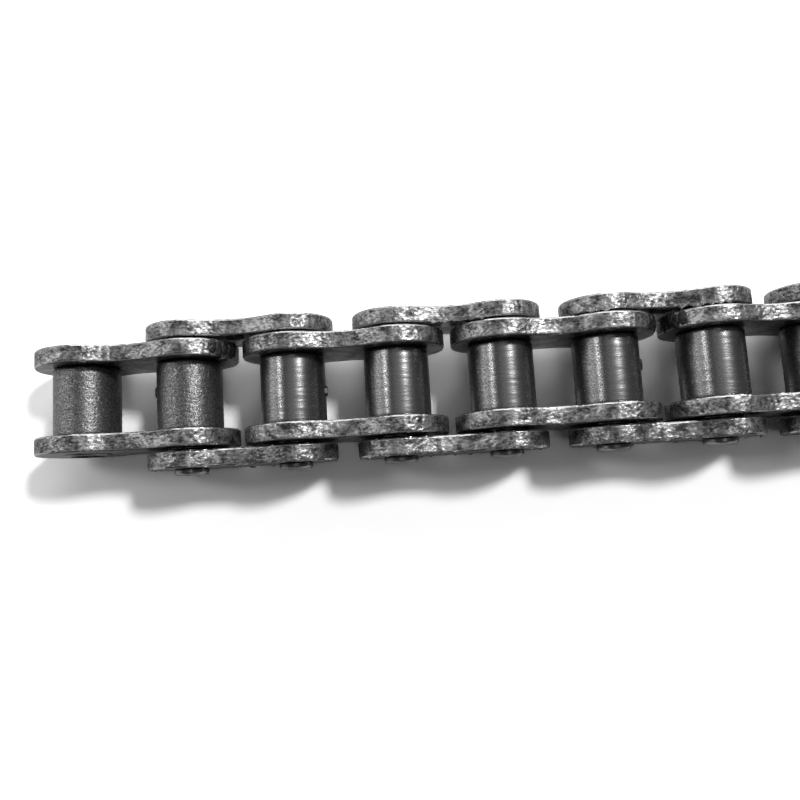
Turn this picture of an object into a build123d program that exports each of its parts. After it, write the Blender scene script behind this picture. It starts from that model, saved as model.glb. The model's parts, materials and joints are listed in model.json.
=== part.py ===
# A short strand of steel roller chain, 19.05 mm pitch, standing on the edges of its link plates.
#
# The strand lies along X, its pins lie along Y, and +Z is up.  The origin is at the middle of
# the strand, on the surface that the inner plates stand on.
#
# Inner links (two waisted plates pressed onto two bushes, each bush carrying a free roller)
# take turns with outer links (two smaller waisted plates pressed and riveted onto two pins).
# Each pin runs in the bush of the next inner link, and that is the chain's hinge.  Both ends
# of the strand are inner links with an open bush, where a joining link's pin goes in.
# All lengths are in millimetres.
import os
from math import atan2, cos, sin

from build123d import *

# ---- driving dimensions -------------------------------------------------------------------
pitch = 19.05                   # pin to pin
inner_link_count = 5            # one more than the outer links, so both ends are inner links

roller_diameter = 11.91
inner_width = 12.6              # between the faces of an inner link's plates
inner_plate_thickness = 3.1
outer_plate_thickness = 2.95
plate_end_gap = 0.95            # between the round ends of two inner plates in line
outer_plate_step = 1.25         # how far an outer plate's edge stays inside an inner one's
inner_waist_depth = 2.2         # how far a plate's waist dips below its round ends
outer_waist_depth = 2.1
plate_edge_chamfer = 0.25       # stands for the tumbled, rounded rim of a punched plate

pin_diameter = 5.94
bush_wall = 1.19
bush_proud = 0.3                # how far a bush stands out of its inner plates
rivet_height = 1.2              # how far a pin stands out of its outer plates
rivet_spread = 0.15             # how much the riveted rim is wider than the pin, on radius
rivet_rim_height = 0.55         # the rim's height above the plate
rivet_dimple_share = 0.5        # the riveting tool's dimple, as a share of the pin's radius
rivet_dimple_depth = 0.45

pin_running_clearance = 0.04    # on radius, pin in bush
roller_running_clearance = 0.08  # on radius, roller on bush
roller_end_clearance = 0.1      # each end, roller between inner plates
link_side_clearance = 0.35      # each side, bush end to outer plate
roller_end_chamfer = 0.4
bush_end_chamfer = 0.2
bore_chamfer = 0.25             # at both mouths of a roller's bore

# ---- sizes that follow from them ----------------------------------------------------------
inner_plate_height = pitch - plate_end_gap
outer_plate_height = inner_plate_height - 2 * outer_plate_step
pin_height = inner_plate_height / 2

pin_radius = pin_diameter / 2
bush_bore_radius = pin_radius + pin_running_clearance
bush_radius = bush_bore_radius + bush_wall
roller_radius = roller_diameter / 2
roller_bore_radius = bush_radius + roller_running_clearance
roller_length = inner_width - 2 * roller_end_clearance

inner_plate_face = inner_width / 2                              # Y of each plate's near face
bush_half_length = inner_plate_face + inner_plate_thickness + bush_proud
outer_plate_face = bush_half_length + link_side_clearance
rivet_seat = outer_plate_face + outer_plate_thickness
pin_half_length = rivet_seat + rivet_height

station_count = 2 * inner_link_count
first_station = -pitch * (station_count - 1) / 2


def station_x(number):
    """X of a pin axis. Stations are numbered from 1 at the -X end."""
    return first_station + pitch * (number - 1)


def waisted_outline(height, waist_depth):
    """A link plate's outline: two round ends, joined by two hollow arcs tangent to them."""
    end_radius = height / 2
    half_waist = end_radius - waist_depth
    hollow_radius = ((pitch / 2) ** 2 + waist_depth**2) / (2 * waist_depth) - end_radius
    lean = atan2(half_waist + hollow_radius, pitch / 2)         # pin to hollow centre
    tangent_x = pitch / 2 - end_radius * cos(lean)
    tangent_y = end_radius * sin(lean)
    tip_x = pitch / 2 + end_radius
    arcs = [
        ThreePointArc((-tangent_x, tangent_y), (-tip_x, 0), (-tangent_x, -tangent_y)),
        ThreePointArc((-tangent_x, -tangent_y), (0, -half_waist), (tangent_x, -tangent_y)),
        ThreePointArc((tangent_x, -tangent_y), (tip_x, 0), (tangent_x, tangent_y)),
        ThreePointArc((tangent_x, tangent_y), (0, half_waist), (-tangent_x, tangent_y)),
    ]
    return make_face(Wire(arcs))


def link_plate(height, waist_depth, thickness, hole_radius):
    """A punched plate centred between its holes, with its thickness along Y."""
    plate = extrude(waisted_outline(height, waist_depth), thickness / 2, both=True)
    rims = plate.faces().filter_by(Axis.Z).edges()
    plate = chamfer(rims, min(plate_edge_chamfer, 0.45 * thickness))
    for side in (-1, 1):
        plate -= Pos(side * pitch / 2, 0, 0) * Cylinder(hole_radius, thickness * 2)
    return Rot(90, 0, 0) * plate


def bush():
    """A hardened sleeve, chamfered outside at both ends so that it presses in."""
    sleeve = Cylinder(bush_radius, 2 * bush_half_length)
    end_edges = sleeve.edges().filter_by(GeomType.CIRCLE)
    sleeve = chamfer(end_edges, min(bush_end_chamfer, 0.4 * bush_wall))
    sleeve -= Cylinder(bush_bore_radius, 3 * bush_half_length)
    return Rot(90, 0, 0) * sleeve


def roller():
    """A free roller with broken end edges and a chamfer at each mouth of its bore."""
    wall = roller_radius - roller_bore_radius
    body = Cylinder(roller_radius, roller_length)
    body = chamfer(body.edges().filter_by(GeomType.CIRCLE), min(roller_end_chamfer, 0.4 * wall))
    body -= Cylinder(roller_bore_radius, 2 * roller_length)
    mouths = body.edges().filter_by(GeomType.CIRCLE).filter_by(
        lambda edge: abs(edge.radius - roller_bore_radius) < 1e-6
    )
    body = chamfer(mouths, min(bore_chamfer, 0.3 * wall))
    return Rot(90, 0, 0) * body


def pin():
    """A plain pin with a riveted rim at each end, seated on the outer plates' faces."""
    rim_radius = pin_radius + rivet_spread
    rim_top = rivet_seat + rivet_rim_height
    dimple_radius = pin_radius * rivet_dimple_share
    dimple_bottom = pin_half_length - rivet_dimple_depth
    half = [
        (pin_radius, rivet_seat),
        (rim_radius, rivet_seat),
        (rim_radius, rim_top),
        (pin_radius * 0.88, pin_half_length),
        (dimple_radius, pin_half_length),
        (dimple_radius * 0.35, dimple_bottom),
        (0, dimple_bottom),
    ]
    mirrored = [(radius, -along) for radius, along in reversed(half)]
    section = make_face(Polyline(half + mirrored, close=True))
    return revolve(section, Axis.Y)


def build_strand():
    """Every piece of the strand at its place, by node name."""
    inner_plate = link_plate(
        inner_plate_height, inner_waist_depth, inner_plate_thickness, bush_radius
    )
    outer_plate = link_plate(
        outer_plate_height, outer_waist_depth, outer_plate_thickness, pin_radius
    )
    inner_offset = inner_plate_face + inner_plate_thickness / 2
    outer_offset = outer_plate_face + outer_plate_thickness / 2
    one_bush, one_roller, one_pin = bush(), roller(), pin()

    pieces = {}
    for link in range(1, inner_link_count + 1):
        left = 2 * link - 1
        middle = station_x(left) + pitch / 2
        for side, sign in (("front", -1), ("back", 1)):
            place = Pos(middle, sign * inner_offset, pin_height)
            pieces[f"inner_link_{link}_{side}_plate"] = place * inner_plate
    for link in range(1, inner_link_count):
        left = 2 * link
        middle = station_x(left) + pitch / 2
        for side, sign in (("front", -1), ("back", 1)):
            place = Pos(middle, sign * outer_offset, pin_height)
            pieces[f"outer_link_{link}_{side}_plate"] = place * outer_plate
    for station in range(1, station_count + 1):
        place = Pos(station_x(station), 0, pin_height)
        pieces[f"bush_{station:02d}"] = place * one_bush
        pieces[f"roller_{station:02d}"] = place * one_roller
        if 1 < station < station_count:
            pieces[f"pin_{station:02d}"] = place * one_pin
    return pieces


os.makedirs("parts", exist_ok=True)
for node, piece in build_strand().items():
    export_step(piece, f"parts/{node}.step")
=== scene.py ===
import json
from collections import Counter
from math import atan2, cos, hypot, pi, radians, sin

import bpy
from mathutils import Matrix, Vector

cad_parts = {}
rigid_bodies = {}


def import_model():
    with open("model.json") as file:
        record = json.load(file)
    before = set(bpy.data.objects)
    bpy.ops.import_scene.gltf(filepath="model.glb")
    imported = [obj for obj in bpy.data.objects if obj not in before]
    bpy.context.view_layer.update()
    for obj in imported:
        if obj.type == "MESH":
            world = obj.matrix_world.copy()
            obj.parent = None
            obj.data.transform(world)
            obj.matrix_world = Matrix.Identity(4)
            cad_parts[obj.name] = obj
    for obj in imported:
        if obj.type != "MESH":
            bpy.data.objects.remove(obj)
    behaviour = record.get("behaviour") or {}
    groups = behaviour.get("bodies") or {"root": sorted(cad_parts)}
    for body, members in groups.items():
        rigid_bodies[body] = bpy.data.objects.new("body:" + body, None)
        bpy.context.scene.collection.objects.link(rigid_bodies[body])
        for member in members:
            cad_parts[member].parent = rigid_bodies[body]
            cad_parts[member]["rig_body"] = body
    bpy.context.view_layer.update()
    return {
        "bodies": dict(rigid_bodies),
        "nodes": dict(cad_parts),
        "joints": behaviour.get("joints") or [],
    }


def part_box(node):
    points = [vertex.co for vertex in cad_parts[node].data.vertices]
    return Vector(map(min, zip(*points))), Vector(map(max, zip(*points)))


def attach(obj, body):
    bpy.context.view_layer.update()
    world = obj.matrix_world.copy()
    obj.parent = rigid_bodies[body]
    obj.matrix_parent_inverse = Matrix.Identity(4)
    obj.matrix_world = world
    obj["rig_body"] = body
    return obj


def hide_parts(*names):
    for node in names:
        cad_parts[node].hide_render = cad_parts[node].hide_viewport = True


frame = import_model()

mm = 0.001
hair = 0.001 * mm       # for telling places apart and for merging doubles

# where the pins are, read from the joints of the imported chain
jointAt = {joint["name"]: joint["pos_m"] for joint in frame["joints"]}
stationCount = sum(name.startswith("roller_") for name in frame["bodies"])
stationX = {n: jointAt[f"roller_spin_{n:02d}"][0] for n in range(1, stationCount + 1)}
pinHeight = jointAt["roller_spin_01"][2]
pitch = stationX[2] - stationX[1]


def sizeAndMiddle(node):
    low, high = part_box(node)
    return high - low, (low + high) / 2


def bodyOf(node):
    return frame["nodes"][node]["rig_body"]


# small helpers for modelling: one object worked on at a time, with its parts picked by place

def only(obj):
    bpy.ops.object.select_all(action="DESELECT")
    obj.select_set(True)
    bpy.context.view_layer.objects.active = obj


def edit(obj):
    only(obj)
    bpy.ops.object.mode_set(mode="EDIT")


def leaveEdit():
    bpy.ops.object.mode_set(mode="OBJECT")


def pick(obj, kind, test):
    # picks the verts, edges or faces that pass the test, and stays in edit mode
    edit(obj)
    bpy.ops.mesh.select_mode(type={"verts": "VERT", "edges": "EDGE", "faces": "FACE"}[kind])
    bpy.ops.mesh.select_all(action="DESELECT")
    leaveEdit()
    mesh = obj.data
    parts = {"verts": mesh.vertices, "edges": mesh.edges, "faces": mesh.polygons}[kind]
    for part in parts:
        part.select = bool(test(part))
    bpy.ops.object.mode_set(mode="EDIT")


def ends(mesh, edge):
    return [mesh.vertices[i].co for i in edge.vertices]


def runAlongPin(mesh, edge):
    first, second = ends(mesh, edge)
    return abs(first.y - second.y)


def keepGroup(obj, name, test):
    # a vertex group of the verts that pass the test, for a modifier to work on
    obj.vertex_groups.new(name=name)
    obj.vertex_groups.active = obj.vertex_groups[name]
    pick(obj, "verts", test)
    bpy.context.scene.tool_settings.vertex_group_weight = 1.0
    bpy.ops.object.vertex_group_assign()
    leaveEdit()


def applyModifier(obj, kind, **settings):
    only(obj)
    modifier = obj.modifiers.new(kind.lower(), kind)
    for name, value in settings.items():
        setattr(modifier, name, value)
    bpy.ops.object.modifier_apply(modifier=modifier.name)


def tidyShell(obj, merge=hair):
    # doubles merged and every face turned outwards
    edit(obj)
    bpy.ops.mesh.select_all(action="SELECT")
    bpy.ops.mesh.remove_doubles(threshold=merge)
    bpy.ops.mesh.normals_make_consistent(inside=False)
    leaveEdit()


def smooth(obj, degrees=35):
    only(obj)
    bpy.ops.object.shade_smooth_by_angle(angle=radians(degrees))


def wear(obj, group, pattern, sizeMm, depthMm, stretch=(1, 1, 1), middle=1.0, direction="NORMAL",
         contrast=1.0):
    # real dents, from a noise that stretch draws out along an axis; middle 1 only cuts inwards
    bpy.ops.object.empty_add(location=(0, 0, 0))
    ruler = bpy.context.object
    ruler.scale = stretch
    bpy.context.view_layer.update()
    noise = bpy.data.textures.new("wear", pattern)
    noise.noise_scale = sizeMm * mm
    noise.contrast = contrast
    applyModifier(obj, "DISPLACE", texture=noise, texture_coords="OBJECT", texture_coords_object=ruler,
                  vertex_group=group, strength=depthMm * mm, mid_level=middle, direction=direction)
    bpy.data.objects.remove(ruler)
    bpy.data.textures.remove(noise)


def copyTo(master, name, place):
    # a copy with its own mesh, its place applied, so that its object stays at the origin
    only(master)
    bpy.ops.object.duplicate()
    piece = bpy.context.object
    piece.name = piece.data.name = name
    piece.location = place
    bpy.ops.object.transform_apply(location=True)
    return piece


def linear(hexColour):
    # sRGB hex to the linear colour that a shader wants
    channels = [int(hexColour[i:i + 2], 16) / 255 for i in (1, 3, 5)]
    return (*[c / 12.92 if c <= 0.04045 else ((c + 0.055) / 1.055) ** 2.4 for c in channels], 1.0)


def addNode(material, kind, inputs=None, **settings):
    # an input takes either a value or the socket that feeds it
    # Math and Mix sockets go by number: in Mix 0 is the share, 2 and 3 are numbers, 6 and 7 colours
    node = material.node_tree.nodes.new(kind)
    for name, value in settings.items():
        setattr(node, name, value)
    for name, value in (inputs or {}).items():
        if isinstance(value, bpy.types.NodeSocket):
            material.node_tree.links.new(value, node.inputs[name])
        else:
            node.inputs[name].default_value = value
    return node


def newMaterial(name):
    material = bpy.data.materials.new(name)
    material.use_nodes = True
    material.node_tree.nodes.clear()
    return material


noiseLow, noiseHigh = 0.35, 0.65        # nearly all of a noise's values lie between these


# hardened steel as the punch left it, tumbled after: mid-grey, freckled, with short torn streaks
shearedEdge = {
    "oil": "#3c3c3c", "steel": "#7c7c7c", "rubbed": "#b0b0b0",
    "oilTo": 0.41, "steelAt": 0.5, "rubbedFrom": 0.60,
    "patchMm": 2.0, "patchShare": 0.45, "fleckMm": 0.38, "fleckShare": 0.55, "fleckStretch": 0.5,
    "dentMm": 0.6, "dentDepthMm": 0.04, "grainMm": 0.12, "grainDepthMm": 0.012,
    "tearMm": 0.25, "tearDepthMm": 0.05, "tearStretch": 0.25, "tearFrom": 0.45, "tearFull": 0.6,
    "roughLow": 0.32, "roughHigh": 0.48, "metal": 0.9,
    "rim": "#c8c8c8", "rimRough": 0.24,
}


def shearedEdgeMaterial(look):
    material = newMaterial("shearedSteelEdge")
    place = addNode(material, "ShaderNodeTexCoord").outputs["Object"]
    patches = addNode(material, "ShaderNodeTexNoise",
                      {"Vector": place, "Scale": 1 / (look["patchMm"] * mm), "Detail": 3.0})
    smeared = addNode(material, "ShaderNodeMapping",
                      {"Vector": place, "Scale": (look["fleckStretch"], 1.0, 1.0)})
    flecks = addNode(material, "ShaderNodeTexNoise",
                     {"Vector": smeared.outputs["Vector"], "Scale": 1 / (look["fleckMm"] * mm),
                      "Detail": 4.0, "Roughness": 0.6})
    along = addNode(material, "ShaderNodeMapping",
                    {"Vector": place, "Scale": (look["tearStretch"], 1.0, 1.0)})
    tears = addNode(material, "ShaderNodeTexNoise",
                    {"Vector": along.outputs["Vector"], "Scale": 1 / (look["tearMm"] * mm),
                     "Detail": 3.0, "Roughness": 0.55})
    dents = addNode(material, "ShaderNodeTexNoise",
                    {"Vector": place, "Scale": 1 / (look["dentMm"] * mm), "Detail": 2.0, "Distortion": 0.6})
    grain = addNode(material, "ShaderNodeTexNoise",
                    {"Vector": place, "Scale": 1 / (look["grainMm"] * mm), "Detail": 2.0})
    # the tears come and go with the broad patches
    torn = addNode(material, "ShaderNodeMapRange",
                   {"Value": patches.outputs["Fac"], "From Min": look["tearFrom"],
                    "From Max": look["tearFull"]})
    tearHeight = addNode(material, "ShaderNodeMath", {0: tears.outputs["Fac"], 1: torn.outputs["Result"]},
                         operation="MULTIPLY")
    blotches = addNode(material, "ShaderNodeMath", {0: patches.outputs["Fac"], 1: look["patchShare"]},
                       operation="MULTIPLY")
    mottle = addNode(material, "ShaderNodeMath",
                     {0: flecks.outputs["Fac"], 1: look["fleckShare"], 2: blotches.outputs["Value"]},
                     operation="MULTIPLY_ADD")
    tone = addNode(material, "ShaderNodeValToRGB", {"Fac": mottle.outputs["Value"]})
    tone.color_ramp.elements[0].position = look["oilTo"]
    tone.color_ramp.elements[0].color = linear(look["oil"])
    tone.color_ramp.elements[1].position = look["rubbedFrom"]
    tone.color_ramp.elements[1].color = linear(look["rubbed"])
    tone.color_ramp.elements.new(look["steelAt"]).color = linear(look["steel"])
    rough = addNode(material, "ShaderNodeMapRange",
                    {"Value": flecks.outputs["Fac"], "From Min": noiseLow, "From Max": noiseHigh,
                     "To Min": look["roughHigh"], "To Max": look["roughLow"]})
    bump = addNode(material, "ShaderNodeBump",
                   {"Height": dents.outputs["Fac"], "Distance": look["dentDepthMm"] * mm})
    bump = addNode(material, "ShaderNodeBump",
                   {"Height": tearHeight.outputs["Value"], "Distance": look["tearDepthMm"] * mm,
                    "Normal": bump.outputs["Normal"]})
    bump = addNode(material, "ShaderNodeBump",
                   {"Height": grain.outputs["Fac"], "Distance": look["grainDepthMm"] * mm,
                    "Normal": bump.outputs["Normal"]})
    # the rim is rubbed brighter and smoother than the edge
    rim = addNode(material, "ShaderNodeAttribute", attribute_name="rimWear").outputs["Fac"]
    rimTone = addNode(material, "ShaderNodeMix", {0: rim, 6: tone.outputs["Color"], 7: linear(look["rim"])},
                      data_type="RGBA")
    rimRough = addNode(material, "ShaderNodeMix",
                       {0: rim, 2: rough.outputs["Result"], 3: look["rimRough"]})
    shader = addNode(material, "ShaderNodeBsdfPrincipled",
                     {"Base Color": rimTone.outputs[2], "Metallic": look["metal"],
                      "Roughness": rimRough.outputs[0], "Normal": bump.outputs["Normal"]})
    addNode(material, "ShaderNodeOutputMaterial", {"Surface": shader.outputs["BSDF"]})
    return material


# the flat of a plate and a pin's head: rolled strip, hardened dark, with faint rolling lines and patches
rolledFace = {
    "dark": "#6c6c6c", "light": "#9c9c9c", "darkTo": 0.35, "lightFrom": 0.68, "patchMm": 3.5,
    "lineMm": 0.18, "lineStretch": 0.05, "lineDepthMm": 0.005, "dentMm": 1.4, "dentDepthMm": 0.02,
    "roughLow": 0.22, "roughHigh": 0.36, "metal": 1.0,
}


def rolledFaceMaterial(look):
    material = newMaterial("rolledSteelFace")
    place = addNode(material, "ShaderNodeTexCoord").outputs["Object"]
    patches = addNode(material, "ShaderNodeTexNoise",
                      {"Vector": place, "Scale": 1 / (look["patchMm"] * mm),
                       "Detail": 5.0, "Roughness": 0.6})
    along = addNode(material, "ShaderNodeMapping",
                    {"Vector": place, "Scale": (look["lineStretch"], 1.0, 1.0)})
    lines = addNode(material, "ShaderNodeTexNoise",
                    {"Vector": along.outputs["Vector"], "Scale": 1 / (look["lineMm"] * mm), "Detail": 3.0})
    dents = addNode(material, "ShaderNodeTexNoise",
                    {"Vector": place, "Scale": 1 / (look["dentMm"] * mm), "Detail": 3.0})
    tone = addNode(material, "ShaderNodeValToRGB", {"Fac": patches.outputs["Fac"]})
    tone.color_ramp.elements[0].position = look["darkTo"]
    tone.color_ramp.elements[0].color = linear(look["dark"])
    tone.color_ramp.elements[1].position = look["lightFrom"]
    tone.color_ramp.elements[1].color = linear(look["light"])
    rough = addNode(material, "ShaderNodeMapRange",
                    {"Value": patches.outputs["Fac"], "From Min": noiseLow, "From Max": noiseHigh,
                     "To Min": look["roughHigh"], "To Max": look["roughLow"]})
    bump = addNode(material, "ShaderNodeBump",
                   {"Height": dents.outputs["Fac"], "Distance": look["dentDepthMm"] * mm})
    bump = addNode(material, "ShaderNodeBump",
                   {"Height": lines.outputs["Fac"], "Distance": look["lineDepthMm"] * mm,
                    "Normal": bump.outputs["Normal"]})
    shader = addNode(material, "ShaderNodeBsdfPrincipled",
                     {"Base Color": tone.outputs["Color"], "Metallic": look["metal"],
                      "Roughness": rough.outputs["Result"], "Normal": bump.outputs["Normal"]})
    addNode(material, "ShaderNodeOutputMaterial", {"Surface": shader.outputs["BSDF"]})
    return material


# turned and hardened rollers: dark, with fine rings round them, so that highlights break into beads
turnedRoller = {
    "dark": "#686868", "light": "#8c8c8c", "ringMm": 0.30, "ringDepthMm": 0.014, "ringStretch": 0.12,
    "pitMm": 0.25, "pitDepthMm": 0.006, "roughLow": 0.20, "roughHigh": 0.34, "metal": 0.9,
}
# the rollers at the free end are duller, rusted and pitted
rustedRoller = {
    "dark": "#4a4a4a", "light": "#8a8a8a", "ringMm": 0.30, "ringDepthMm": 0.008, "ringStretch": 0.12,
    "pitMm": 0.30, "pitDepthMm": 0.07, "roughLow": 0.28, "roughHigh": 0.42, "metal": 0.85,
}


def turnedSteelMaterial(name, look):
    material = newMaterial(name)
    place = addNode(material, "ShaderNodeTexCoord").outputs["Object"]
    around = addNode(material, "ShaderNodeMapping",
                     {"Vector": place, "Scale": (look["ringStretch"], 1.0, look["ringStretch"])})
    rings = addNode(material, "ShaderNodeTexNoise",
                    {"Vector": around.outputs["Vector"], "Scale": 1 / (look["ringMm"] * mm),
                     "Detail": 4.0, "Roughness": 0.6})
    pits = addNode(material, "ShaderNodeTexNoise",
                   {"Vector": place, "Scale": 1 / (look["pitMm"] * mm), "Detail": 3.0, "Roughness": 0.6})
    tone = addNode(material, "ShaderNodeValToRGB", {"Fac": pits.outputs["Fac"]})
    tone.color_ramp.elements[0].position = noiseLow
    tone.color_ramp.elements[0].color = linear(look["dark"])
    tone.color_ramp.elements[1].position = noiseHigh
    tone.color_ramp.elements[1].color = linear(look["light"])
    rough = addNode(material, "ShaderNodeMapRange",
                    {"Value": pits.outputs["Fac"], "From Min": noiseLow, "From Max": noiseHigh,
                     "To Min": look["roughHigh"], "To Max": look["roughLow"]})
    bump = addNode(material, "ShaderNodeBump",
                   {"Height": rings.outputs["Fac"], "Distance": look["ringDepthMm"] * mm})
    bump = addNode(material, "ShaderNodeBump",
                   {"Height": pits.outputs["Fac"], "Distance": look["pitDepthMm"] * mm,
                    "Normal": bump.outputs["Normal"]})
    shader = addNode(material, "ShaderNodeBsdfPrincipled",
                     {"Base Color": tone.outputs["Color"], "Metallic": look["metal"],
                      "Roughness": rough.outputs["Result"], "Normal": bump.outputs["Normal"]})
    addNode(material, "ShaderNodeOutputMaterial", {"Surface": shader.outputs["BSDF"]})
    return material


edgeSteel = shearedEdgeMaterial(shearedEdge)
faceSteel = rolledFaceMaterial(rolledFace)
rollerSteel = turnedSteelMaterial("turnedRollerSteel", turnedRoller)
rustySteel = turnedSteelMaterial("rustedRollerSteel", rustedRoller)
print("materials made")

# link plates
plateShape = {
    "innerWaistMm": 2.2, "outerWaistMm": 2.1,    # how far a waist dips below its round ends
    "pinHoleRadiusMm": 2.97,                     # in the outer plates
    "roundingMm": 0.3, "roundingRings": 4, "flatRingMm": 0.15,
    "polishedShare": 0.5, "burrShare": 0.4,      # how much of the rounding is rubbed, and bears the burr
    "endSteps": 84, "waistSteps": 26, "wallRows": 14,
    "holeSteps": 64, "holeChamferMm": 0.15, "smoothDegrees": 44,
}
plateWear = {
    "dentMm": 1.2, "dentDepthMm": 0.10,          # tumbling dents
    "pitMm": 0.45, "pitDepthMm": 0.075,          # small pits
    # bars across the edge, from the punch
    "barMm": 1.3, "barDepthMm": 0.08, "barStretch": (0.6, 3.0, 0.6),
    # the ragged lip on the outward rim
    "burrMm": 1.0, "burrDepthMm": 0.45, "burrStretch": (1.5, 1, 1.5), "burrMiddle": 0.4,
    "burrContrast": 3.0,
    # a burr left hanging, on a band of the edge that is this far from the inward face
    "tornMm": 0.6, "tornStretch": (1.6, 1, 1.6), "tornContrast": 2.5, "tornBandMm": (0.01, 0.25),
}
# burrs left hanging on a plate's inward rim: the plate, its start and stop along X, and its reach
tornLips = (
    ("outer_link_3_back_plate", 21.8, 30.2, 0.58),
    ("outer_link_3_back_plate", 4.0, 12.0, 0.35),
    ("outer_link_2_back_plate", -22.0, -12.0, 0.3),
)


def drawOutline(endRadius, waistDepth, endSteps, waistSteps):
    # a quarter of the outline is spun from the tip, first round the pin, then round the waist's hollow
    halfPitch = pitch / 2
    hollowRadius = (halfPitch ** 2 + waistDepth ** 2) / (2 * waistDepth) - endRadius
    hollowMiddle = endRadius - waistDepth + hollowRadius
    lean = atan2(hollowMiddle, halfPitch)
    bpy.ops.mesh.primitive_plane_add(size=mm, location=(halfPitch + endRadius, 0, 0))
    plate = bpy.context.object
    only(plate)
    bpy.ops.object.transform_apply(location=True)
    edit(plate)
    bpy.ops.mesh.select_mode(type="VERT")
    bpy.ops.mesh.select_all(action="SELECT")
    bpy.ops.mesh.merge(type="CENTER")
    bpy.ops.mesh.spin(steps=endSteps, angle=pi - lean, center=(halfPitch, 0, 0), axis=(0, 1, 0))
    bpy.ops.mesh.spin(steps=waistSteps, angle=pi / 2 - lean, center=(0, 0, hollowMiddle),
                      axis=(0, -1, 0))
    leaveEdit()
    applyModifier(plate, "MIRROR", use_axis=(True, False, True), merge_threshold=10 * hair)
    edit(plate)
    bpy.ops.mesh.select_all(action="SELECT")
    bpy.ops.mesh.remove_doubles(threshold=2 * hair)
    leaveEdit()
    return plate


def roundCap(plate, faceY, shape):
    # rolls the cap's rim over in small insets, which leaves room for the flat face inside
    pick(plate, "faces", lambda face: len(face.vertices) > 4 and abs(face.center.y - faceY) < 10 * hair)
    rounding, rings = shape["roundingMm"] * mm, shape["roundingRings"]
    for ring in range(rings):
        start, stop = pi / 2 * ring / rings, pi / 2 * (ring + 1) / rings
        bpy.ops.mesh.inset(thickness=rounding * (cos(start) - cos(stop)),
                           depth=rounding * (sin(stop) - sin(start)), use_even_offset=True)
    # a narrow flat ring keeps the rim's unevenness out of the face's shading
    bpy.ops.mesh.inset(thickness=shape["flatRingMm"] * mm, depth=0, use_even_offset=True)
    bpy.ops.mesh.delete(type="ONLY_FACE")
    leaveEdit()


def modelPlate(name, node, holeRadius, waistDepth, shape):
    size = sizeAndMiddle(node)[0]
    endRadius, thickness = size.z / 2, size.y
    halfWall = thickness / 2 - shape["roundingMm"] * mm
    plate = drawOutline(endRadius, waistDepth, shape["endSteps"], shape["waistSteps"])
    plate.name = plate.data.name = name
    edit(plate)
    bpy.ops.mesh.select_all(action="SELECT")
    bpy.ops.mesh.edge_face_add()
    bpy.ops.transform.translate(value=(0, -halfWall, 0))
    bpy.ops.mesh.extrude_region_move(TRANSFORM_OT_translate={"value": (0, 2 * halfWall, 0)})
    bpy.ops.mesh.select_all(action="SELECT")
    bpy.ops.mesh.normals_make_consistent(inside=False)
    leaveEdit()
    pick(plate, "edges", lambda edge: runAlongPin(plate.data, edge) > halfWall)
    bpy.ops.mesh.subdivide(number_cuts=shape["wallRows"])
    leaveEdit()
    for side in (-1, 1):
        roundCap(plate, side * halfWall, shape)
    keepGroup(plate, "edgeBand", lambda vert: abs(vert.co.y) < thickness / 2 - 2 * hair)
    burrStart = thickness / 2 - shape["burrShare"] * shape["roundingMm"] * mm
    keepGroup(plate, "outwardRim", lambda vert: burrStart < -vert.co.y < thickness / 2 - 2 * hair)
    # how far each vert lies round the rim, for the material's polish
    polished = shape["polishedShare"] * shape["roundingMm"] * mm
    rimWear = plate.data.attributes.new("rimWear", "FLOAT", "POINT")
    for vert, shine in zip(plate.data.vertices, rimWear.data):
        shine.value = max(0.0, min(1.0, (abs(vert.co.y) - halfWall) / polished))

    # the two holes, with a small chamfer at each mouth
    chamfer = shape["holeChamferMm"] * mm
    stops = [(-thickness / 2, chamfer), (-thickness / 2 + chamfer, 0), (thickness / 2 - chamfer, 0),
             (thickness / 2, chamfer)]
    edit(plate)
    for holeX in (-pitch / 2, pitch / 2):
        for y, wider in stops:
            bpy.ops.mesh.primitive_circle_add(vertices=shape["holeSteps"], radius=holeRadius + wider,
                                              location=(holeX, y, 0), rotation=(pi / 2, 0, 0))
    leaveEdit()
    for holeX in (-pitch / 2, pitch / 2):
        for (y0, wide0), (y1, wide1) in zip(stops, stops[1:]):
            def onWall(edge):
                return all(
                    hypot(v.x - holeX, v.z) < holeRadius + 1.5 * chamfer
                    and min(abs(v.y - y0), abs(v.y - y1)) < hair
                    for v in ends(plate.data, edge)
                )
            pick(plate, "edges", onWall)
            bpy.ops.mesh.bridge_edge_loops()
            leaveEdit()
    # each flat face is filled in between its outline and its holes, which are open edges so far
    facesOn = Counter(key for face in plate.data.polygons for key in face.edge_keys)
    for side in (-1, 1):
        pick(plate, "edges", lambda edge: facesOn[edge.key] == 1 and all(
            abs(v.y - side * thickness / 2) < hair for v in ends(plate.data, edge)))
        bpy.ops.mesh.fill(use_beauty=True)
        leaveEdit()
    tidyShell(plate)
    plate.data.materials.append(edgeSteel)
    plate.data.materials.append(faceSteel)
    pick(plate, "faces", lambda face: abs(face.normal.y) > 0.95)
    plate.active_material_index = 1
    bpy.ops.object.material_slot_assign()
    leaveEdit()
    return plate


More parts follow.
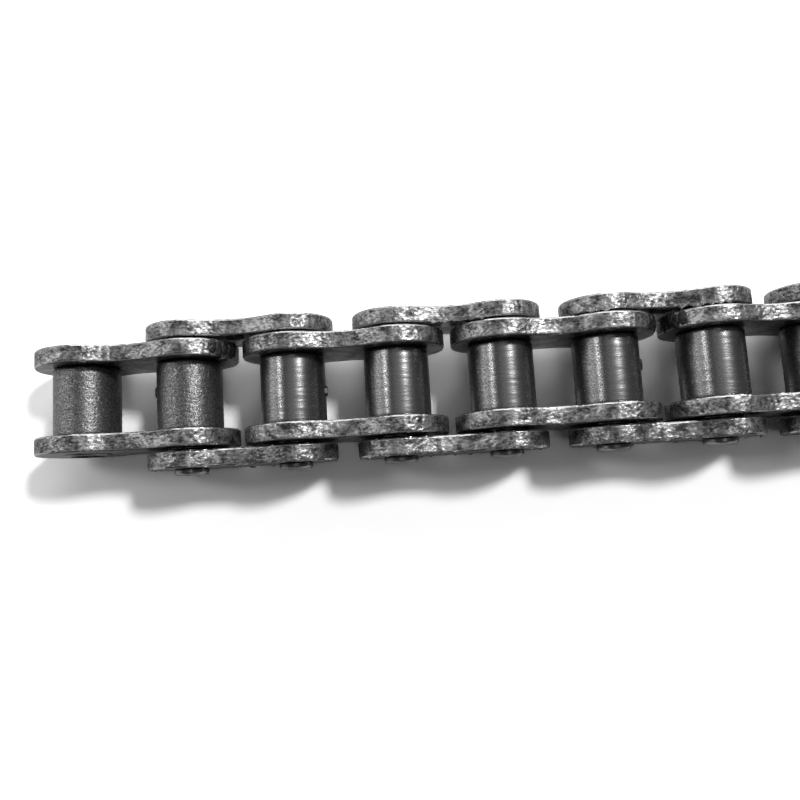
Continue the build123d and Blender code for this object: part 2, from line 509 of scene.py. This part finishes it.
innerMaster = modelPlate("innerMaster", "inner_link_1_front_plate",
                         sizeAndMiddle("bush_01")[0].x / 2, plateShape["innerWaistMm"] * mm, plateShape)
outerMaster = modelPlate("outerMaster", "outer_link_1_front_plate",
                         plateShape["pinHoleRadiusMm"] * mm, plateShape["outerWaistMm"] * mm,
                         plateShape)
for node in list(frame["nodes"]):
    if not node.endswith("_plate"):
        continue
    master = innerMaster if node.startswith("inner") else outerMaster
    size, middle = sizeAndMiddle(node)
    piece = copyTo(master, node + "_look", middle)
    # the noise stays still while the plates lie along it, so that no two of them are worn alike
    wear(piece, "edgeBand", "CLOUDS", plateWear["dentMm"], plateWear["dentDepthMm"])
    wear(piece, "edgeBand", "CLOUDS", plateWear["barMm"], plateWear["barDepthMm"],
         stretch=plateWear["barStretch"])
    wear(piece, "edgeBand", "STUCCI", plateWear["pitMm"], plateWear["pitDepthMm"])
    if node.startswith("outer") and "front" in node:
        # the punch's burr stands out of the plate's outward face
        wear(piece, "outwardRim", "CLOUDS", plateWear["burrMm"], -plateWear["burrDepthMm"],
             stretch=plateWear["burrStretch"], middle=plateWear["burrMiddle"], direction="Y",
             contrast=plateWear["burrContrast"])
    for plate, start, stop, reach in tornLips:
        if plate != node:
            continue
        bandStart, bandStop = [middle.y - size.y / 2 + inside * mm for inside in plateWear["tornBandMm"]]
        keepGroup(piece, "tornLip", lambda vert: start * mm < vert.co.x < stop * mm
                  and vert.co.z > pinHeight and bandStart < vert.co.y < bandStop)
        torn = piece.vertex_groups["tornLip"].index
        for vert, shine in zip(piece.data.vertices, piece.data.attributes["rimWear"].data):
            if any(group.group == torn for group in vert.groups):
                shine.value = 1.0                # the torn metal is bright
        wear(piece, "tornLip", "CLOUDS", plateWear["tornMm"], -reach, stretch=plateWear["tornStretch"],
             middle=0.0, direction="Y", contrast=plateWear["tornContrast"])
        piece.vertex_groups.remove(piece.vertex_groups["tornLip"])
    tidyShell(piece, merge=0.5 * hair)
    smooth(piece, plateShape["smoothDegrees"])
    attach(piece, bodyOf(node))
    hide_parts(node)
for master in (innerMaster, outerMaster):
    bpy.data.objects.remove(master)
print("link plates modelled")

# rollers
rollerShape = {
    "steps": 128, "rows": 56, "endRoundingMm": 0.45, "roundingSegments": 4, "sharpDegrees": 60,
    "boreClearanceMm": 0.08, "boreMouthMm": 0.25, "skinMm": 0.4, "smoothDegrees": 50,
}
rollerWear = {
    "ringMm": 0.7, "ringDepthMm": 0.04, "ringStretch": (10, 1, 10),
    "rustedRings": 0.4,                          # how much of the rings the rust has left
    "pitMm": 0.5, "pitDepthMm": 0.12,            # on the rusted ones
}
rustedStations = (1, 2)
# small lumps of dirt on rollers: station, height above the pin, distance along the pin, side
dirtLumps = ((2, 0.5, 1.2, -1), (3, 0.5, -0.3, 1), (6, 0.4, 1.0, 1))
dirtShape = {"heightMm": 0.5, "lengthToHeight": 2, "proudMm": 0.42, "raisedMm": 0.05}


def modelRoller(shape):
    size = sizeAndMiddle("roller_01")[0]
    radius, length = size.x / 2, size.y
    boreRadius = sizeAndMiddle("bush_01")[0].x / 2 + shape["boreClearanceMm"] * mm
    bpy.ops.mesh.primitive_cylinder_add(vertices=shape["steps"], radius=radius, depth=length,
                                        location=(0, 0, 0), rotation=(pi / 2, 0, 0))
    roller = bpy.context.object
    only(roller)
    bpy.ops.object.transform_apply(rotation=True)
    applyModifier(roller, "BEVEL", width=shape["endRoundingMm"] * mm, segments=shape["roundingSegments"],
                  limit_method="ANGLE", angle_limit=radians(shape["sharpDegrees"]))
    # the end faces are inset down to the bore, and the bore is bridged through
    pick(roller, "faces", lambda face: len(face.vertices) > 4)
    flatRadius, mouth = radius - shape["endRoundingMm"] * mm, shape["boreMouthMm"] * mm
    bpy.ops.mesh.inset(thickness=flatRadius - boreRadius - mouth, use_even_offset=True)
    bpy.ops.mesh.inset(thickness=mouth, depth=-mouth, use_even_offset=True)
    bpy.ops.mesh.bridge_edge_loops()
    leaveEdit()

    def onOutside(edge):
        start = ends(roller.data, edge)[0]
        return hypot(start.x, start.z) > flatRadius and runAlongPin(roller.data, edge) > length / 2

    # rows along the outside, for the turned rings
    pick(roller, "edges", onOutside)
    bpy.ops.mesh.subdivide(number_cuts=shape["rows"])
    leaveEdit()
    tidyShell(roller)
    keepGroup(roller, "outside",
              lambda vert: hypot(vert.co.x, vert.co.z) > radius - shape["skinMm"] * mm)
    return roller


rollerMaster = modelRoller(rollerShape)
for station, x in stationX.items():
    node = f"roller_{station:02d}"
    rusted = station in rustedStations
    axis = Vector((x, 0, pinHeight))
    piece = copyTo(rollerMaster, node + "_look", axis)
    ringDepth = rollerWear["ringDepthMm"] * (rollerWear["rustedRings"] if rusted else 1)
    wear(piece, "outside", "CLOUDS", rollerWear["ringMm"], ringDepth, stretch=rollerWear["ringStretch"])
    if rusted:
        wear(piece, "outside", "CLOUDS", rollerWear["pitMm"], rollerWear["pitDepthMm"])
    radius = sizeAndMiddle(node)[0].x / 2
    for lumpStation, up, along, side in dirtLumps:
        if lumpStation != station:
            continue
        outwards = side * (radius * radius - (up * mm) ** 2) ** 0.5
        lump = Vector((x + outwards, along * mm, pinHeight + up * mm))
        pick(piece, "verts", lambda vert: hypot(
            vert.co.x - lump.x, (vert.co.y - lump.y) / dirtShape["lengthToHeight"],
            vert.co.z - lump.z) < dirtShape["heightMm"] * mm)
        bpy.ops.transform.translate(value=(side * dirtShape["proudMm"] * mm, 0, dirtShape["raisedMm"] * mm))
        leaveEdit()
    smooth(piece, rollerShape["smoothDegrees"])
    piece.data.materials.append(rustySteel if rusted else rollerSteel)
    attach(piece, bodyOf(node))
    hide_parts(node)
bpy.data.objects.remove(rollerMaster)
print("rollers modelled")

# pins, with their ends riveted over
pinShape = {
    "shankRadiusMm": 2.97, "neckMm": 0.1, "neckDepthMm": 0.2, "seatGapMm": 0.12,
    "rimRadiusMm": 3.1, "rimEdgeMm": 0.42, "rimBevelMm": 0.14, "bevelSegments": 3, "sharpDegrees": 30,
    "dimpleRadiusMm": 1.45, "dimpleDepthMm": 0.45, "dimpleFloorShare": 0.35,
    "steps": 96, "smoothDegrees": 40,
}
pinWear = {"headMm": 0.7, "headDepthMm": 0.06}


def modelPin(shape):
    top = sizeAndMiddle("pin_02")[0].y / 2
    plateSize, plateMiddle = sizeAndMiddle("outer_link_1_back_plate")
    seat, seatGap = plateMiddle.y + plateSize.y / 2, shape["seatGapMm"] * mm
    shank, rim = shape["shankRadiusMm"] * mm, shape["rimRadiusMm"] * mm
    edge, dimple = shape["rimEdgeMm"] * mm, shape["dimpleRadiusMm"] * mm
    dimpleFloor = top - shape["dimpleDepthMm"] * mm
    # half of the outline, from the middle of the dimple over the rim and down the shank
    outline = [
        (0, dimpleFloor), (shape["dimpleFloorShare"] * dimple, dimpleFloor), (dimple, top),
        (rim - edge, top), (rim, top - edge), (rim, seat + seatGap),
        (shank - shape["neckMm"] * mm, seat + seatGap / 2), (shank, seat - shape["neckDepthMm"] * mm),
        (shank, 0),
    ]
    bpy.ops.mesh.primitive_plane_add(size=mm, location=(outline[0][0], outline[0][1], 0))
    pin = bpy.context.object
    only(pin)
    bpy.ops.object.transform_apply(location=True)
    edit(pin)
    bpy.ops.mesh.select_mode(type="VERT")
    bpy.ops.mesh.select_all(action="SELECT")
    bpy.ops.mesh.merge(type="CENTER")
    for (r0, y0), (r1, y1) in zip(outline, outline[1:]):
        bpy.ops.mesh.extrude_region_move(TRANSFORM_OT_translate={"value": (r1 - r0, y1 - y0, 0)})
    bpy.ops.mesh.select_all(action="SELECT")
    bpy.ops.mesh.spin(steps=shape["steps"], angle=2 * pi, center=(0, 0, 0), axis=(0, 1, 0))
    leaveEdit()
    tidyShell(pin)
    applyModifier(pin, "MIRROR", use_axis=(False, True, False), merge_threshold=10 * hair)
    tidyShell(pin)
    applyModifier(pin, "BEVEL", width=shape["rimBevelMm"] * mm, segments=shape["bevelSegments"],
                  limit_method="ANGLE", angle_limit=radians(shape["sharpDegrees"]))
    tidyShell(pin)
    keepGroup(pin, "head", lambda vert: abs(vert.co.y) > seat + seatGap)
    return pin


pinMaster = modelPin(pinShape)
for station, x in stationX.items():
    node = f"pin_{station:02d}"
    if node not in frame["nodes"]:
        continue
    piece = copyTo(pinMaster, node + "_look", Vector((x, 0, pinHeight)))
    wear(piece, "head", "CLOUDS", pinWear["headMm"], pinWear["headDepthMm"])
    smooth(piece, pinShape["smoothDegrees"])
    piece.data.materials.append(faceSteel)
    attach(piece, bodyOf(node))
    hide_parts(node)
bpy.data.objects.remove(pinMaster)
print("pins modelled")

# nearly black lumps on the far side, painted shade in the gaps between the plates together with old grease:
# the plate it clings to, its middle and its size, in millimetres
paintedShadeGreaseLumps = (
    ("outer_link_1_back_plate", (-57.2, 9.9, 12.7), (3.6, 0.82, 3.8)),
    ("inner_link_1_back_plate", (-59.4, 5.95, 13.6), (2.2, 1.3, 1.8)),
    ("outer_link_3_back_plate", (19.05, 9.9, 12.6), (4.2, 0.82, 4.0)),
)
# dabs of it on the round ends of inner plates, painted shade where the ends fall away together with grease:
# the plate, its pin's station, and angles round the end
paintedShadeGreasyEnds = (
    ("inner_link_1_back_plate", 2, (12, 21, 30, 39, 47)),
    ("inner_link_3_back_plate", 6, (15, 24, 33, 42)),
    ("inner_link_4_back_plate", 7, (138, 147, 156, 165)),
)
# painted shade and grease thick with dirt in one: nearly black, half dull, lumpy
paintedShadeGreaseLook = {
    "tone": "#161616", "rough": 0.5, "grainMm": 0.35, "grainDepthMm": 0.06,
    "lumpMm": 0.9, "lumpDepthMm": 0.25, "fineMm": 0.4, "fineDepthMm": 0.1, "smoothDegrees": 60,
    "dabSizeMm": (0.9, 3.0, 2.0), "dabSunkMm": 0.1, "dabStrayMm": 0.25,
}


# one nearly black material for the painted shade and the grease in the far side's gaps and on the plate
# ends
def paintedShadeGreaseMaterial(look):
    material = newMaterial("paintedShadeGreaseLook")
    place = addNode(material, "ShaderNodeTexCoord").outputs["Object"]
    grain = addNode(material, "ShaderNodeTexNoise",
                    {"Vector": place, "Scale": 1 / (look["grainMm"] * mm), "Detail": 3.0})
    bump = addNode(material, "ShaderNodeBump",
                   {"Height": grain.outputs["Fac"], "Distance": look["grainDepthMm"] * mm})
    shader = addNode(material, "ShaderNodeBsdfPrincipled",
                     {"Base Color": linear(look["tone"]), "Roughness": look["rough"],
                      "Normal": bump.outputs["Normal"]})
    addNode(material, "ShaderNodeOutputMaterial", {"Surface": shader.outputs["BSDF"]})
    return material


paintedShadeGrease = paintedShadeGreaseMaterial(paintedShadeGreaseLook)


def addLump(name, place, size, turn):
    # a ball 1 mm across, drawn out to its size in millimetres
    bpy.ops.mesh.primitive_ico_sphere_add(subdivisions=5, radius=0.5 * mm, location=place,
                                          rotation=(0, turn, 0))
    lump = bpy.context.object
    lump.name = lump.data.name = name
    lump.scale = size
    only(lump)
    bpy.ops.object.transform_apply(location=True, rotation=True, scale=True)
    keepGroup(lump, "skin", lambda vert: True)
    wear(lump, "skin", "CLOUDS", paintedShadeGreaseLook["lumpMm"], paintedShadeGreaseLook["lumpDepthMm"])
    wear(lump, "skin", "CLOUDS", paintedShadeGreaseLook["fineMm"], paintedShadeGreaseLook["fineDepthMm"])
    return lump


lumps = [(node, Vector(place) * mm, size, 0) for node, place, size in paintedShadeGreaseLumps]
for node, station, angles in paintedShadeGreasyEnds:
    size, middle = sizeAndMiddle(node)
    for count, angle in enumerate(angles):
        turn = radians(angle)
        reach = size.z / 2 - paintedShadeGreaseLook["dabSunkMm"] * mm
        # the dabs stray to either side by turns
        stray = paintedShadeGreaseLook["dabStrayMm"] * mm * (-1 if count % 2 else 1)
        place = Vector((stationX[station] + reach * cos(turn), middle.y + stray,
                        pinHeight + reach * sin(turn)))
        lumps.append((node, place, paintedShadeGreaseLook["dabSizeMm"], -turn))
# the nearly black lumps go in: painted shade and grease together
for number, (node, place, size, turn) in enumerate(lumps, 1):
    lump = addLump(f"painted_shade_grease_lump_{number}", place, size, turn)
    tidyShell(lump)
    smooth(lump, paintedShadeGreaseLook["smoothDegrees"])
    lump.data.materials.append(paintedShadeGrease)
    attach(lump, bodyOf(node))
print("grease added")

# the bushes keep their own shape, and are turned steel as the rollers are
for node, obj in frame["nodes"].items():
    if node.startswith("bush"):
        obj.data.materials.clear()
        obj.data.materials.append(rollerSteel)
print("bushes given their steel")

# the floor, and a world that is white to the camera and a dim room to the metal and the floor
studio = {
    "floorTone": "#ececec", "floorSeen": 1.88, "floorSize": 1.3,
    "worldTone": "#ffffff", "worldSeen": 1.0, "worldInMetal": 0.07, "worldLight": 0.006,
    "lampDistance": 3.0, "lampsAimMm": (-28.0, 0, 0),
}
# each lamp's slope from straight up along X and Y, its radius as a share of its distance, and its share
# of the floor's light
lampSet = {
    "keyLamp": {"slope": (0.63, 0.46), "spread": 0.07, "share": 0.44},
    "leftLamp": {"slope": (-0.82, 0.27), "spread": 0.10, "share": 0.072},
    "nearLamp": {"slope": (0.16, -0.40), "spread": 0.12, "share": 0.042},
    "overhead": {"slope": (0.10, 0.15), "spread": 0.32, "share": 0.03},
    "farWindow": {"slope": (0.5, 3.8), "spread": 0.60, "share": 0.29},
    "leftWindow": {"slope": (-2.4, 1.1), "spread": 0.35, "share": 0.06},
    "sideWindow": {"slope": (-3.4, 0.4), "spread": 0.40, "share": 0.02},
}


def addLamp(name, look, aim, distance):
    offset = Vector((*look["slope"], 1.0)).normalized() * distance
    bpy.ops.object.light_add(type="AREA", location=aim + offset)
    lamp = bpy.context.object
    lamp.name = name
    lamp.rotation_euler = offset.to_track_quat("Z", "Y").to_euler()
    lamp.data.shape = "DISK"
    lamp.data.size = 2 * look["spread"] * distance
    # watts that give a white floor its share of brightness where the lamp is aimed
    lamp.data.energy = look["share"] * (pi * distance) ** 2 * distance / offset.z


for name, look in lampSet.items():
    addLamp(name, look, Vector(studio["lampsAimMm"]) * mm, studio["lampDistance"])


def floorMaterial(look):
    # white card; the camera sees it brighter than the light it throws back, so that it reads as white
    material = newMaterial("whiteCard")
    seen = addNode(material, "ShaderNodeLightPath").outputs["Is Camera Ray"]
    real = linear(look["floorTone"])
    shown = (*[channel * look["floorSeen"] for channel in real[:3]], 1.0)
    tone = addNode(material, "ShaderNodeMix", {0: seen, 6: real, 7: shown}, data_type="RGBA")
    card = addNode(material, "ShaderNodeBsdfDiffuse", {"Color": tone.outputs[2]})
    addNode(material, "ShaderNodeOutputMaterial", {"Surface": card.outputs["BSDF"]})
    return material


bpy.ops.mesh.primitive_plane_add(size=studio["floorSize"], location=(0, 0, 0))
floor = bpy.context.object
floor.name = "floor"
floor.data.materials.append(floorMaterial(studio))

world = bpy.data.worlds.new("studioWorld")
bpy.context.scene.world = world
world.use_nodes = True
world.node_tree.nodes.clear()
ray = addNode(world, "ShaderNodeLightPath")
inMetal = addNode(world, "ShaderNodeMapRange", {"Value": ray.outputs["Is Glossy Ray"],
                                                "To Min": studio["worldLight"],
                                                "To Max": studio["worldInMetal"]})
strength = addNode(world, "ShaderNodeMix", {0: ray.outputs["Is Camera Ray"], 2: inMetal.outputs["Result"],
                                            3: studio["worldSeen"]})
sky = addNode(world, "ShaderNodeBackground", {"Color": linear(studio["worldTone"]),
                                              "Strength": strength.outputs[0]})
addNode(world, "ShaderNodeOutputWorld", {"Surface": sky.outputs["Background"]})

cameraLook = {
    "atMm": (-25.27, -19.33, 143.56), "turnDegrees": (6.9565, 1.6702, -3.2639),
    "lensMm": 33.48, "sensorMm": 36.0, "nearestMm": 5,
}
bpy.ops.object.camera_add(location=Vector(cameraLook["atMm"]) * mm,
                          rotation=[radians(a) for a in cameraLook["turnDegrees"]])
camera = bpy.context.object
camera.data.lens = cameraLook["lensMm"]
camera.data.sensor_width = cameraLook["sensorMm"]
camera.data.clip_start = cameraLook["nearestMm"] * mm
bpy.context.scene.camera = camera
bpy.context.scene.view_settings.view_transform = "Standard"
print("floor, lamps and camera set")
